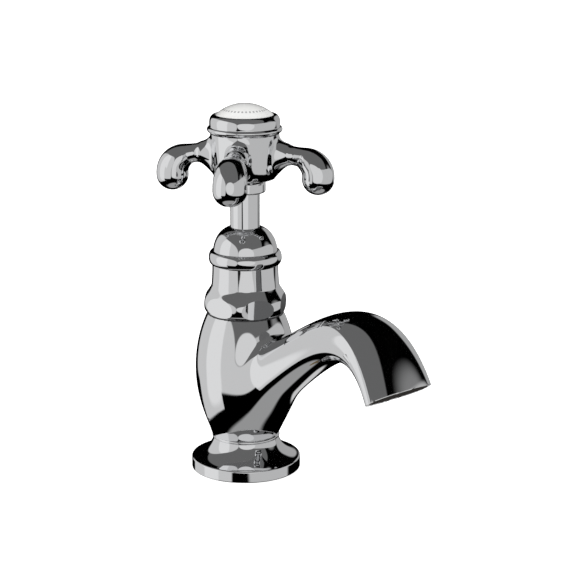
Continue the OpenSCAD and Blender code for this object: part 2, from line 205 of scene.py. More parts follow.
seat_r = 17.2 * MM                 # of the recess under the flange that the gasket fills
seat_deep = 1.6 * MM
top_edge = (flange_r - edge_round, flange_edge + edge_round)
cove = curve(top_edge, (flange_r - 4.5 * MM, flange_edge + 1.6 * MM),
             (neck_r + 0.8 * MM, neck_z - 4.7 * MM), (neck_r, neck_z), 28)
bead = curve((neck_r, neck_z), (neck_r + bead_out * 1.35, neck_z),
             (neck_r + bead_out * 1.35, vase_z), (neck_r, vase_z), 10)
outline = [(seat_r, 0.0)]
outline += [*rounded((flange_r, 0), (0, 0), (flange_r, flange_edge), 0.3 * MM)]
outline += [*rounded((flange_r, flange_edge + edge_round), (flange_r, 0), cove[1], edge_round)]
outline += [*cove[2:], *bead[1:], (neck_r - 2 * MM, vase_z), (neck_r - 2 * MM, seat_deep),
            (seat_r, seat_deep), (seat_r, 0.0)]
pedestal = turned("pedestal", outline)
smooth(pedestal)
finish_piece(pedestal, chrome, "tap_body", "body_casting")


# ------------------------------------------------------------ vase and spout
# The body of the tap, a hollow brass casting: a vase that the wide spout grows out of.
# The two forms run into each other in a soft fillet, tight above and wide below.

vase_top = 70.5 * MM
belly_r = 22.0 * MM
belly_z = 46.0 * MM
lip_r = 16.7 * MM
section_square = 0.436             # fullness of the spout's section, 0 is an ellipse

spout_out = -casting_low.y - 0.05 * MM
mouth_tilt = math.radians(53)
mouth_half_t = 5.5 * MM
mouth_half_w = 18.2 * MM
mouth_wall = 1.6 * MM
lip_dir = np.array([math.sin(mouth_tilt), math.cos(mouth_tilt)])
mouth_dir = np.array([math.cos(mouth_tilt), -math.sin(mouth_tilt)])
mouth_mid = np.array([spout_out - mouth_half_t * lip_dir[0], 54.5 * MM])

# pulls of the spout's upper and lower lines, as (distance out, height), and of its half width
spout_top = [(0, 53.5 * MM), (43 * MM, 65.5 * MM), (72 * MM, 112.5 * MM), mouth_mid + lip_dir * mouth_half_t]
spout_under = [(0, 12 * MM), (23.5 * MM, 32 * MM), (69.5 * MM, 88 * MM), mouth_mid - lip_dir * mouth_half_t]
spout_half_w = [(16.2 * MM,), (10.0 * MM,), (14.8 * MM,), (mouth_half_w,)]


def bezier(points, t):
    """Points at the values t on the cubic curve through four given pulls."""
    a, b, c, d = (np.array(p, float) for p in points)
    t = np.asarray(t)[..., None]
    return (1 - t) ** 3 * a + 3 * (1 - t) ** 2 * t * b + 3 * (1 - t) * t * t * c + t**3 * d


vase_outline = np.vstack([
    curve((neck_r - 0.9 * MM, vase_z - 2.0 * MM), (neck_r - 0.6 * MM, vase_z - 1.3 * MM),
          (neck_r - 0.3 * MM, vase_z - 0.6 * MM), (neck_r, vase_z), 4),
    curve((neck_r, vase_z), (neck_r + 2.9 * MM, vase_z + 6.5 * MM),
          (belly_r, belly_z - 14 * MM), (belly_r, belly_z), 40)[1:],
    curve((belly_r, belly_z), (belly_r, belly_z + 8 * MM),
          (lip_r + 3.6 * MM, vase_top - 7.5 * MM), (lip_r, vase_top), 40)[1:],
    [(lip_r - 1.4 * MM, vase_top + 3 * MM)]])


def vase_distance(p):
    """Signed distance of points from the vase's wall."""
    radius = np.hypot(p[:, 0], p[:, 1])
    wall = np.interp(p[:, 2], vase_outline[:, 1], vase_outline[:, 0])
    step = 0.2 * MM
    slope = (np.interp(p[:, 2] + step, vase_outline[:, 1], vase_outline[:, 0])
             - np.interp(p[:, 2] - step, vase_outline[:, 1], vase_outline[:, 0])) / (2 * step)
    return (radius - wall) / np.sqrt(1 + slope**2)


def spout_distance(p):
    """Signed distance of points from the spout's wall, found in the section that holds each point."""
    ts = np.linspace(-0.02, 1.1, 150)
    top, under = bezier(spout_top, ts), bezier(spout_under, ts)
    flat = np.stack([-p[:, 1], p[:, 2]], 1)
    side = ((flat[:, None, 0] - under[None, :, 0]) * (top - under)[None, :, 1]
            - (flat[:, None, 1] - under[None, :, 1]) * (top - under)[None, :, 0])
    passed = np.clip((side > 0).cumprod(axis=1).sum(axis=1), 1, len(ts) - 1)
    rows = np.arange(len(p))
    before, after = side[rows, passed - 1], side[rows, passed]
    share = np.clip(before / np.where(np.abs(before - after) < 1e-15, 1e-15, before - after), -3, 3)
    t = ts[passed - 1] + share * (ts[1] - ts[0])
    top, under = bezier(spout_top, t), bezier(spout_under, t)
    half_w = bezier(spout_half_w, t)[:, 0]
    half_t = np.linalg.norm(top - under, axis=1) / 2
    up = (top - under) / (2 * half_t[:, None])
    b = ((flat - (top + under) / 2) * up).sum(1) / half_t
    a = p[:, 0] / half_w
    total = np.maximum(a * a + b * b, 1e-9)
    gauge = np.sqrt(total - section_square * a * a * b * b / total)
    slope_a = (a - section_square * a * b**4 / total**2) / gauge / half_w
    slope_b = (b - section_square * b * a**4 / total**2) / gauge / half_t
    return np.maximum((gauge - 1) / np.sqrt(slope_a**2 + slope_b**2), p[:, 1])


def soft_union(a, b, reach):
    """Joins two distances with a fillet that starts where they differ by less than reach."""
    share = np.clip(reach - np.abs(a - b), 0, None) / reach
    return np.minimum(a, b) - share**3 * reach / 6


def casting_distance(p):
    """Signed distance of points from the vase with its spout."""
    lift = np.clip((p[:, 2] - 30 * MM) / (35 * MM), 0, 1)
    lift = lift * lift * (3 - 2 * lift)
    return soft_union(vase_distance(p), spout_distance(p), (13 - 8 * lift) * MM)


def settle(piece, distance, rounds, reach=0.02 * MM):
    """Moves a piece's points onto the surface where distance is nought, evening them out between moves."""
    mesh = piece.data
    count = len(mesh.vertices)
    points = np.zeros(count * 3)
    mesh.vertices.foreach_get("co", points)
    points = points.reshape(-1, 3)
    ends = np.zeros(len(mesh.edges) * 2, int)
    mesh.edges.foreach_get("vertices", ends)
    ends = ends.reshape(-1, 2)
    degree = np.bincount(ends.ravel(), minlength=count)[:, None]
    for turn in range(rounds):
        if turn:
            total = np.zeros_like(points)
            np.add.at(total, ends[:, 0], points[ends[:, 1]])
            np.add.at(total, ends[:, 1], points[ends[:, 0]])
            points += 0.6 * (total / degree - points)
        for _ in range(3):
            value = distance(points)
            slope = np.stack([(distance(points + reach * axis) - distance(points - reach * axis)) / (2 * reach)
                              for axis in np.eye(3)], 1)
            points -= np.clip(value, -MM, MM)[:, None] * slope / np.maximum((slope**2).sum(1), 0.2)[:, None]
    mesh.vertices.foreach_set("co", points.ravel())
    mesh.update()


def modify(piece, kind, **settings):
    """Adds one modifier to a piece and applies it."""
    start_piece()
    piece.select_set(True)
    bpy.context.view_layer.objects.active = piece
    modifier = piece.modifiers.new(kind.lower(), kind)
    for key, value in settings.items():
        setattr(modifier, key, value)
    bpy.ops.object.modifier_apply(modifier=modifier.name)


def drawn_along(name, rings):
    """A closed piece drawn through a list of rings with the same number of corners."""
    start_piece()
    corners = len(rings[0])
    bpy.ops.mesh.primitive_circle_add(vertices=corners, radius=MM, fill_type="NGON")
    piece = bpy.context.object
    piece.name = piece.data.name = name
    bpy.ops.object.mode_set(mode="EDIT")
    bpy.ops.mesh.select_all(action="SELECT")
    for _ in rings[1:]:
        bpy.ops.mesh.extrude_region_move(TRANSFORM_OT_translate={"value": (0, 0, MM)})
    bpy.ops.object.mode_set(mode="OBJECT")
    piece.data.vertices.foreach_set("co", np.array(rings, float).ravel())
    bpy.ops.object.mode_set(mode="EDIT")
    bpy.ops.mesh.select_all(action="SELECT")
    bpy.ops.mesh.normals_make_consistent(inside=False)
    bpy.ops.object.mode_set(mode="OBJECT")
    piece.data.update()
    return piece


def spout_ring(t, inset=0.0, corners=64):
    """One ring of the spout's section at t, smaller by inset all round."""
    top, under = bezier(spout_top, t), bezier(spout_under, t)
    half_w = bezier(spout_half_w, t)[0] - inset
    half_t = np.linalg.norm(top - under) / 2
    up = (top - under) / (2 * half_t)
    half_t -= inset
    turn = np.linspace(0, 2 * math.pi, corners, endpoint=False)
    a, b = np.cos(turn), np.sin(turn)
    size = 1 / np.sqrt(1 - section_square * a * a * b * b)
    middle = (top + under) / 2
    return [(half_w * x * k, -(middle[0] + up[0] * half_t * y * k), middle[1] + up[1] * half_t * y * k)
            for x, y, k in zip(a, b, size)]


voxel = 0.6 * MM
casting = turned("tap_casting", [(0.0, vase_outline[0][1]), *vase_outline[::2], (0.0, vase_outline[-1][1])], 96)
spout = drawn_along("spout_form", [spout_ring(t) for t in np.linspace(0.05, 1.06, 40)])
start_piece()
spout.select_set(True)
casting.select_set(True)
bpy.context.view_layer.objects.active = casting
bpy.ops.object.join()
modify(casting, "REMESH", mode="VOXEL", voxel_size=voxel, use_smooth_shade=True)
settle(casting, casting_distance, rounds=8)


def cut_off(piece, point, normal, chosen):
    """Cuts the chosen part of a piece at a plane and closes it, dropping the side the normal points to."""
    start_piece()
    piece.select_set(True)
    bpy.context.view_layer.objects.active = piece
    bpy.ops.object.mode_set(mode="EDIT")
    bpy.ops.mesh.select_all(action="DESELECT")
    bpy.ops.object.mode_set(mode="OBJECT")
    for face in piece.data.polygons:
        if chosen(face.center):
            face.select = True
    bpy.ops.object.mode_set(mode="EDIT")
    bpy.ops.mesh.bisect(plane_co=point, plane_no=normal, use_fill=True, clear_outer=True)


cut_off(casting, (0, 0, vase_z), (0, 0, -1), lambda c: c.z < vase_z + 3 * MM and math.hypot(c.x, c.y) < belly_r)
cut_off(casting, (0, 0, vase_top), (0, 0, 1),
        lambda c: c.z > vase_top - 3 * MM and math.hypot(c.x, c.y) < lip_r + 1.5 * MM)
cut_off(casting, (0, -mouth_mid[0], mouth_mid[1]), (0, -mouth_dir[0], mouth_dir[1]),
        lambda c: math.dist((-c.y, c.z), mouth_mid) < 14 * MM)
bpy.ops.mesh.inset(thickness=mouth_wall, depth=0)
before = mouth_mid
for back in (0.04, 0.11, 0.2):     # the duct follows the spout's middle line in three steps
    middle = (bezier(spout_top, 1 - back) + bezier(spout_under, 1 - back)) / 2
    bpy.ops.mesh.extrude_region_move(TRANSFORM_OT_translate={
        "value": (0, before[0] - middle[0], middle[1] - before[1])})
    before = middle
bpy.ops.object.mode_set(mode="OBJECT")
smooth(casting, 40)
finish_piece(casting, chrome, "tap_body", "body_casting")


def duct_painted_shade():
    """The skin of the cast duct, dull where the plate hardly reaches; its near-black colour is painted shade of the
    deep duct.
    """
    material, shader, place = new_material("duct_painted_shade", (0.06, 0.055, 0.05), 0.6, 0.6)
    grain = vary(material, place, shader.inputs["Roughness"], 0.5, 0.75, 900, 4)
    roughen(material, shader, grain.outputs["Fac"], 0.4, 0.0002)
    return material


# Faces deep in the duct get the near-black second material: painted shade inside the spout's mouth.
casting.data.materials.append(duct_painted_shade())
near_mouth = [face for face in casting.data.polygons if face.center.y < -0.6 * spout_out]
for face, depth in zip(near_mouth, casting_distance(np.array([face.center for face in near_mouth]))):
    if depth < -0.7 * mouth_wall:
        face.material_index = 1


# ------------------------------------------------------------------ bonnet
# The turned cover over the valve: a rounded band with six spanner flats, a straight
# neck, a bead and a dome that the stem comes out of. Chromed brass, screwed to the body.

bonnet_low, bonnet_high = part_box("bonnet")
bonnet_z = bonnet_low.z
band_r = 18.3 * MM
across_flats = 33.6 * MM
first_flat = 7                     # degrees from +X to the first flat
band_top_z = vase_top + 10.6 * MM
straight_r = 14.45 * MM
collar_bead_z = vase_top + 22 * MM
collar_bead_r = 15.9 * MM
dome_z = collar_bead_z + 6 * MM
stem_low, stem_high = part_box("stem_sleeve")
stem_r = stem_high.x
dome_top_z = bonnet_high.z
hollow_r = 12.5 * MM
thread_r = 13.6 * MM               # of the bore that screws onto the body's neck

band = curve((band_r, bonnet_z + 4 * MM), (band_r, bonnet_z + 8 * MM),
             (straight_r + 1 * MM, band_top_z - 0.4 * MM), (straight_r + 0.3 * MM, band_top_z + 2 * MM), 28)
neck = curve(band[-1], (straight_r + 0.02 * MM, band_top_z + 5 * MM),
             (straight_r - 0.1 * MM, collar_bead_z - 5 * MM), (straight_r - 0.15 * MM, collar_bead_z - 0.2 * MM), 10)
collar_bead = curve((straight_r - 0.1 * MM, collar_bead_z), (collar_bead_r + 0.5 * MM, collar_bead_z),
                    (collar_bead_r + 0.5 * MM, dome_z), (straight_r - 0.5 * MM, dome_z), 28)
dome = curve((straight_r - 0.5 * MM, dome_z), (straight_r - 1 * MM, dome_z + 5 * MM),
             (straight_r - 3.4 * MM, dome_top_z - 1.4 * MM), (stem_r + 0.9 * MM, dome_top_z), 36)
skirt = curve((lip_r - 0.1 * MM, bonnet_z), (lip_r + 0.35 * MM, bonnet_z + 0.5 * MM),
              (band_r, bonnet_z + 1.2 * MM), (band_r, bonnet_z + 4 * MM), 14)
hole_r = stem_r + 0.25 * MM
outline = [(thread_r, bonnet_z), *skirt, *band[1:], *neck[1:], *collar_bead, *dome[1:],
           (hole_r, dome_top_z - 0.25 * MM), (hole_r, dome_top_z - 6 * MM),
           (hollow_r - 3 * MM, dome_z + 2.5 * MM), (hollow_r, dome_z - 0.5 * MM),
           (hollow_r, bonnet_z + 6 * MM), (thread_r, bonnet_z + 5.6 * MM), (thread_r, bonnet_z)]
bonnet = turned("bonnet_cover", outline)

start_piece()
for k in range(6):
    turn = math.radians(first_flat + 60 * k)
    reach = across_flats / 2 + band_r / 2
    bpy.ops.mesh.primitive_cube_add(
        size=1, location=(reach * math.cos(turn), reach * math.sin(turn), bonnet_z + 4.3 * MM),
        rotation=(0, 0, turn), scale=(band_r, 2 * band_r, 10.8 * MM))
    cutter = bpy.context.object
    modify(bonnet, "BOOLEAN", object=cutter, operation="DIFFERENCE", solver="EXACT")
    bpy.data.objects.remove(cutter)
smooth(bonnet, 11)
finish_piece(bonnet, chrome, "tap_body", "bonnet")


# ---------------------------------------------------------- stem and collar
# A plain tube that hides the spindle, and a small ring under the handle.
# Both are drawn or turned brass with chrome plate, and turn with the handle.

sleeve_bore = 4.4 * MM
edge = 0.12 * MM
sleeve = turned("sleeve_tube", [
    (sleeve_bore, stem_low.z), (stem_r - edge, stem_low.z), (stem_r, stem_low.z + edge),
    (stem_r, stem_high.z - edge), (stem_r - edge, stem_high.z),
    (sleeve_bore, stem_high.z), (sleeve_bore, stem_low.z)])
smooth(sleeve)
finish_piece(sleeve, chrome, "handle", "stem_sleeve")

collar_low, collar_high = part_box("stem_collar")
collar_r = collar_high.x
slope_top = (collar_r - 0.7 * MM, collar_high.z)
outline = [(sleeve_bore, collar_low.z)]
outline += [*rounded((collar_r, collar_low.z), (0, collar_low.z), (collar_r, collar_high.z), 0.7 * MM)]
outline += [*rounded((collar_r, collar_high.z - 1.5 * MM), (collar_r, collar_low.z), slope_top, 0.4 * MM)]
outline += [slope_top, (sleeve_bore, collar_high.z), (sleeve_bore, collar_low.z)]
collar = turned("collar_ring", outline)
smooth(collar)
finish_piece(collar, chrome, "handle", "stem_collar")


# ------------------------------------------------------------- cross handle
# One chromed brass casting: a bell-shaped hub and four arms that flow out of it,
# thin at the waist and hanging down in a round drop at the end.

handle_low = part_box("cross_handle")[0]
hub_z = collar_high.z
hub_top_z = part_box("cap_ring")[1].z - 7.6 * MM
first_arm = math.radians(37)
arm_reach = 38.7 * MM
bulb_r = 6.7 * MM                  # of the drop, before it is drawn a little fuller along and across the arm
fuller = 1.03
bulb_x = arm_reach - bulb_r * fuller
bulb_low_z = handle_low.z - 0.5 * MM
waist_r = 4.0 * MM
waist_z = bulb_low_z + 16.6 * MM

hub_side = curve((11.4 * MM, hub_z - 0.6 * MM), (14.6 * MM, hub_z + 0.2 * MM),
                 (13.7 * MM, hub_z + 9 * MM), (14.9 * MM, hub_top_z + 1 * MM), 40)
root = curve((12 * MM, 8.4 * MM), (15.6 * MM, 8.0 * MM), (17 * MM, waist_r), (23 * MM, waist_r), 30)
# pulls of the arm's middle line and radius, as (distance out, height, radius)
arm_root = [(19 * MM, waist_z + 0.55 * MM, waist_r), (22 * MM, waist_z, waist_r),
            (24 * MM, waist_z - 0.25 * MM, waist_r + 0.05 * MM), (26 * MM, waist_z - 0.75 * MM, waist_r + 0.45 * MM)]
arm_drop = [arm_root[-1], (29.5 * MM, waist_z - 2.4 * MM, waist_r + 2.1 * MM),
            (bulb_x + 0.5 * MM, waist_z - 4.8 * MM, bulb_r - 0.05 * MM), (bulb_x, bulb_low_z + bulb_r, bulb_r)]
steps = np.linspace(0, 1, 70)
arm_line = np.vstack([bezier(arm_root, steps[::3]), bezier(arm_drop, steps)[1:]])


def hub_distance(p):
    """Signed distance of points from the bell of the hub, with its rounded lower edge."""
    radius = np.hypot(p[:, 0], p[:, 1])
    wall = np.interp(p[:, 2], hub_side[:, 1], hub_side[:, 0])
    step = 0.3 * MM
    slope = (np.interp(p[:, 2] + step, hub_side[:, 1], hub_side[:, 0])
             - np.interp(p[:, 2] - step, hub_side[:, 1], hub_side[:, 0])) / (2 * step)
    return -soft_union((wall - radius) / np.sqrt(1 + slope**2), p[:, 2] - hub_z - 0.02 * MM, 1.2 * MM)


def root_at(out):
    """The arm's root where it leaves the hub: its height, its half depth and how much narrower it is than deep."""
    rise = np.interp(out, (14 * MM, 19 * MM, 23 * MM), (-0.35 * MM, 0.5 * MM, -0.1 * MM))
    return waist_z + rise, np.interp(out, root[:, 0], root[:, 1]), np.interp(out, (13 * MM, 19 * MM), (1.6, 1.0))


def arm_distance(p):
    """Signed distance of points from the nearest arm: a trumpet at the hub, then a ball drawn along the arm."""
    turn = np.arctan2(p[:, 1], p[:, 0]) - first_arm
    turn = (turn + math.pi / 4) % (math.pi / 2) - math.pi / 4
    radius = np.hypot(p[:, 0], p[:, 1])
    out, side = radius * np.cos(turn), radius * np.sin(turn)
    wide = np.where(out > bulb_x, bulb_x + (out - bulb_x) / fuller, np.where(
        out > bulb_x - 9 * MM, bulb_x - (bulb_x - out) / fuller, out - 9 * MM / fuller + 9 * MM))
    across = side * np.interp(out, (21 * MM, 26 * MM, 29 * MM, 33 * MM), (1.0, 0.84, 0.87, 0.957))
    away = np.sqrt((wide[:, None] - arm_line[:, 0]) ** 2 + across[:, None] ** 2
                   + (p[:, 2][:, None] - arm_line[:, 1]) ** 2) - arm_line[:, 2]
    k = np.clip(away.argmin(axis=1), 1, len(arm_line) - 2)
    rows = np.arange(len(p))
    low, mid, high = away[rows, k - 1], away[rows, k], away[rows, k + 1]
    bend = np.maximum(high - 2 * mid + low, 1e-12)
    ball = np.where(np.abs(high - low) < 2 * bend, np.minimum(mid, mid - (high - low) ** 2 / (8 * bend)), mid)
    middle, wall, narrow = root_at(out)
    trumpet = np.hypot(side * narrow, p[:, 2] - middle) - wall
    share = np.clip((out - 19.5 * MM) / (3 * MM), 0, 1)
    return trumpet + (ball - trumpet) * share**2 * (3 - 2 * share)


def handle_distance(p):
    """Signed distance of points from the hub with its arms."""
    return soft_union(hub_distance(p), arm_distance(p), 4 * MM)


handle = turned("cross_handle_casting", [(0.0, hub_z), (10 * MM, hub_z), *hub_side[2::3], (0.0, hub_side[-1][1])], 96)
forms = [handle]
for k in range(4):
    turn = first_arm + k * math.pi / 2
    rings = []
    for out in np.arange(11, 19, 1.0) * MM:
        height, radius, narrow = root_at(out)
        rings.append([(out * math.cos(turn) - side * math.sin(turn), out * math.sin(turn) + side * math.cos(turn), z)
                      for side, z in ((radius / narrow * math.cos(corner), height + radius * math.sin(corner))
                                      for corner in np.linspace(0, 2 * math.pi, 24, endpoint=False))])
    for step in range(0, len(arm_line), 5):
        out, height, radius = arm_line[step]
        near = arm_line[max(step - 2, 0)], arm_line[min(step + 2, len(arm_line) - 1)]
        lean = math.atan2(near[1][1] - near[0][1], near[1][0] - near[0][0])
        ring = []
        for corner in np.linspace(0, 2 * math.pi, 24, endpoint=False):
            side, up = radius * math.cos(corner), radius * math.sin(corner)
            x, z = out - up * math.sin(lean), height + up * math.cos(lean)
            ring.append((x * math.cos(turn) - side * math.sin(turn),
                         x * math.sin(turn) + side * math.cos(turn), z))
        rings.append(ring)
    forms.append(drawn_along("arm_form", rings))
    start_piece()
    bpy.ops.mesh.primitive_uv_sphere_add(segments=32, ring_count=20, radius=bulb_r, location=(
        bulb_x * math.cos(turn), bulb_x * math.sin(turn), bulb_low_z + bulb_r))
    bpy.ops.object.transform_apply(location=True, rotation=True, scale=True)
    forms.append(bpy.context.object)
start_piece()
for form in forms:
    form.select_set(True)
bpy.context.view_layer.objects.active = handle
bpy.ops.object.join()
modify(handle, "REMESH", mode="VOXEL", voxel_size=0.5 * MM, use_smooth_shade=True)
settle(handle, handle_distance, rounds=8)
bpy.ops.object.mode_set(mode="EDIT")
bpy.ops.mesh.select_all(action="SELECT")
bpy.ops.mesh.bisect(plane_co=(0, 0, hub_top_z), plane_no=(0, 0, 1), use_fill=True, clear_outer=True)
bpy.ops.object.mode_set(mode="OBJECT")
smooth(handle, 40)
finish_piece(handle, chrome, "handle", "cross_handle")


# ------------------------------------------------------- cap ring and index
# A turned and chromed ring screws into the hub and holds a white porcelain dome,
# which carries a plain ring of dashes fired under its glaze.

cap_low, cap_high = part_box("cap_ring")
cap_r = cap_high.x
index_low, index_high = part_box("index_disc")
index_r = index_high.x
hub_r = 14.8 * MM
lower_bead = curve((hub_r - 0.3 * MM, hub_top_z), (cap_r + 0.45 * MM, hub_top_z),
                   (cap_r + 0.45 * MM, hub_top_z + 2.4 * MM), (cap_r - 1 * MM, hub_top_z + 2.5 * MM), 20)
band_side = curve((cap_r - 1.02 * MM, hub_top_z + 2.7 * MM), (cap_r - 0.95 * MM, hub_top_z + 3.2 * MM),
                  (cap_r - 0.95 * MM, hub_top_z + 4 * MM), (cap_r - 1 * MM, hub_top_z + 4.6 * MM), 8)
crown = curve(band_side[-1], (cap_r - 1.1 * MM, cap_high.z - 1.2 * MM), (index_r + 1.8 * MM, cap_high.z),
              (index_r + 0.25 * MM, cap_high.z), 24)
skirt_r = 10.95 * MM
outline = [(0.0, hub_top_z + 0.8 * MM), (9.5 * MM, hub_top_z + 0.8 * MM), (9.5 * MM, cap_low.z),
           (skirt_r, cap_low.z), (skirt_r, hub_top_z), *lower_bead, *band_side, *crown[1:],
           (index_r + 0.03 * MM, cap_high.z - 0.2 * MM),
           (index_r + 0.03 * MM, index_low.z - 0.6 * MM), (0.0, index_low.z - 0.6 * MM)]
cap = turned("cap_holder", outline)
smooth(cap)
finish_piece(cap, chrome, "handle", "cap_ring")

dome_h = 4.8 * MM
rim_z = index_high.z - dome_h
dome_radius = (index_r**2 + dome_h**2) / (2 * dome_h)
half_angle = math.asin(index_r / dome_radius)
outline = [(0.0, index_low.z), (index_r - 0.3 * MM, index_low.z), (index_r, index_low.z + 0.3 * MM),
           (index_r, rim_z - 0.15 * MM)]
outline += [(dome_radius * math.sin(a), index_high.z - dome_radius * (1 - math.cos(a)))
            for a in np.linspace(half_angle * 0.985, 0, 30)]
index = turned("porcelain_index", outline)
smooth(index, 50)


dash_ring_r = 9.2 * MM
dash_half_l = 0.45 * MM
dash_count = 36


def glazed_porcelain():
    """White porcelain under clear glaze, with tiny pinholes and a fired ring of grey dashes."""
    material, shader, place = new_material("glazed_porcelain", (0.8, 0.8, 0.79), 0.0, 0.12)
    nodes, links = material.node_tree.nodes, material.node_tree.links
    shader.inputs["Coat Weight"].default_value = 0.6
    shader.inputs["Coat Roughness"].default_value = 0.05
    shader.inputs["Subsurface Weight"].default_value = 0.08
    shader.inputs["Subsurface Radius"].default_value = (0.002, 0.002, 0.0018)
    vary(material, place, shader.inputs["Roughness"], 0.08, 0.2, 400, 4)
    split = node_of(material, "ShaderNodeSeparateXYZ")
    links.new(place.outputs["Object"], split.inputs["Vector"])
    flat = node_of(material, "ShaderNodeCombineXYZ")
    links.new(split.outputs["X"], flat.inputs["X"])
    links.new(split.outputs["Y"], flat.inputs["Y"])
    radius = node_of(material, "ShaderNodeVectorMath", operation="LENGTH")
    links.new(flat.outputs["Vector"], radius.inputs[0])
    ring = node_of(material, "ShaderNodeMath", operation="COMPARE")
    ring.inputs[1].default_value = dash_ring_r
    ring.inputs[2].default_value = dash_half_l
    links.new(radius.outputs["Value"], ring.inputs[0])
    turn = node_of(material, "ShaderNodeMath", operation="ARCTAN2")
    links.new(split.outputs["Y"], turn.inputs[0])
    links.new(split.outputs["X"], turn.inputs[1])
    wave = node_of(material, "ShaderNodeMath", operation="MULTIPLY")
    wave.inputs[1].default_value = dash_count
    links.new(turn.outputs["Value"], wave.inputs[0])
    beat = node_of(material, "ShaderNodeMath", operation="SINE")
    links.new(wave.outputs["Value"], beat.inputs[0])
    dash = node_of(material, "ShaderNodeMath", operation="GREATER_THAN")
    dash.inputs[1].default_value = 0.1
    links.new(beat.outputs["Value"], dash.inputs[0])
    mark = node_of(material, "ShaderNodeMath", operation="MULTIPLY")
    links.new(ring.outputs["Value"], mark.inputs[0])
    links.new(dash.outputs["Value"], mark.inputs[1])
    speck = node_of(material, "ShaderNodeTexNoise", Scale=900, Detail=2)
    links.new(place.outputs["Object"], speck.inputs["Vector"])
    body = node_of(material, "ShaderNodeMix", data_type="RGBA")
    body.inputs[6].default_value = (0.8, 0.8, 0.785, 1)
    body.inputs[7].default_value = (0.74, 0.74, 0.73, 1)
    links.new(speck.outputs["Fac"], body.inputs[0])
    colour = node_of(material, "ShaderNodeMix", data_type="RGBA")
    colour.inputs[7].default_value = (0.36, 0.36, 0.36, 1)
    links.new(mark.outputs["Value"], colour.inputs[0])
    links.new(body.outputs[2], colour.inputs[6])
    links.new(colour.outputs[2], shader.inputs["Base Color"])
    roughen(material, shader, speck.outputs["Fac"], 0.05, 0.0001)
    return material


finish_piece(index, glazed_porcelain(), "handle", "index_disc")


# ---------------------------------------------------------- the working parts
# What the tap holds inside and under the basin: brass valve and tail, rubber and fibre
# seals, ceramic discs, acetal guides and zinc-plated steel. They stay as the frame has them.


def machined_brass():
    """Free-cutting brass straight off the lathe: fine turning marks and a little tarnish."""
    material, shader, place = new_material("machined_brass", (0.72, 0.53, 0.24), 1.0, 0.28)
    noise = vary(material, place, shader.inputs["Roughness"], 0.18, 0.4, 60, 6)
    wave = node_of(material, "ShaderNodeTexWave", Scale=900, Distortion=0.4, bands_direction="Z")
    material.node_tree.links.new(place.outputs["Object"], wave.inputs["Vector"])
    roughen(material, shader, wave.outputs["Fac"], 0.15, 0.00005)
    tone = node_of(material, "ShaderNodeMix", data_type="RGBA")
    tone.inputs[6].default_value = (0.76, 0.57, 0.27, 1)
    tone.inputs[7].default_value = (0.55, 0.37, 0.15, 1)
    material.node_tree.links.new(noise.outputs["Fac"], tone.inputs[0])
    material.node_tree.links.new(tone.outputs[2], shader.inputs["Base Color"])
    return material


def mottled(name, light, dark, metallic, rough_low, rough_high, grain, strength, depth):
    """A plain material whose colour, roughness and surface all vary with one grain."""
    material, shader, place = new_material(name, light, metallic, rough_low)
    noise = vary(material, place, shader.inputs["Roughness"], rough_low, rough_high, grain, 5)
    tone = node_of(material, "ShaderNodeMix", data_type="RGBA")
    tone.inputs[6].default_value = (*light, 1)
    tone.inputs[7].default_value = (*dark, 1)
    material.node_tree.links.new(noise.outputs["Fac"], tone.inputs[0])
    material.node_tree.links.new(tone.outputs[2], shader.inputs["Base Color"])
    roughen(material, shader, noise.outputs["Fac"], strength, depth)
    return material


brass = machined_brass()
rubber = mottled("seal_rubber", (0.022, 0.022, 0.024), (0.05, 0.05, 0.052), 0.0, 0.55, 0.8, 700, 0.3, 0.0001)
fibre = mottled("seal_fibre", (0.24, 0.05, 0.03), (0.12, 0.025, 0.018), 0.0, 0.6, 0.9, 1500, 0.5, 0.0001)
plated_steel = mottled("zinc_plated_steel", (0.6, 0.6, 0.6), (0.42, 0.43, 0.45), 1.0, 0.25, 0.45, 250, 0.1, 0.00005)
alumina = mottled("lapped_alumina", (0.85, 0.83, 0.77), (0.75, 0.73, 0.68), 0.0, 0.2, 0.35, 900, 0.05, 0.00002)
acetal = mottled("white_acetal", (0.78, 0.77, 0.73), (0.7, 0.69, 0.65), 0.0, 0.35, 0.5, 500, 0.1, 0.00005)
finishes = {
    "base_gasket": rubber, "tail_seal": fibre, "threaded_tail": brass, "deck_washer_rubber": rubber,
    "deck_washer_metal": plated_steel, "backnut": brass, "headwork_housing": brass, "headwork_seal": rubber,
    "seat_seal": rubber, "fixed_disc": alumina, "moving_disc": alumina, "bonnet_seal": rubber,
    "stem_guide_bush": acetal, "spindle": brass, "friction_washer": acetal, "spindle_o_rings": rubber,
    "spindle_circlip": plated_steel, "square_insert": acetal, "handle_screw": plated_steel,
    "handle_screw_washer": plated_steel, "index_seal": rubber}
for name, material in finishes.items():
    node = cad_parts[name]
    node.data.materials.clear()
    node.data.materials.append(material)


# ------------------------------------------------------------ studio and view
# A pale floor under a white sky. The chrome sees its own surroundings: two tall soft boxes
# left and right, a dim sheet overhead and a few cards. The camera looks a little downwards.

view_tilt = math.radians(14.7)
right = Vector((0.7319, -0.6814, 0.0))
ahead = Vector((0.6814, 0.7319, 0.0))
up = Vector((0, 0, 1))
look = ahead * math.cos(view_tilt) - up * math.sin(view_tilt)
head = ahead * math.sin(view_tilt) + up * math.cos(view_tilt)
distance = 0.8037
camera_data = bpy.data.cameras.new("camera")
camera_data.lens = 110.77
camera_data.sensor_width = 36
camera_data.clip_start = 0.05
camera_data.clip_end = 50
camera = bpy.data.objects.new("camera", camera_data)
bpy.context.scene.collection.objects.link(camera)
camera.location = right * 0.0205 + head * 0.0767 - look * distance
roll = math.radians(-0.15)
camera.rotation_euler = Matrix((right * math.cos(roll) - head * math.sin(roll),
                                head * math.cos(roll) + right * math.sin(roll), -look)).transposed().to_euler()
bpy.context.scene.camera = camera


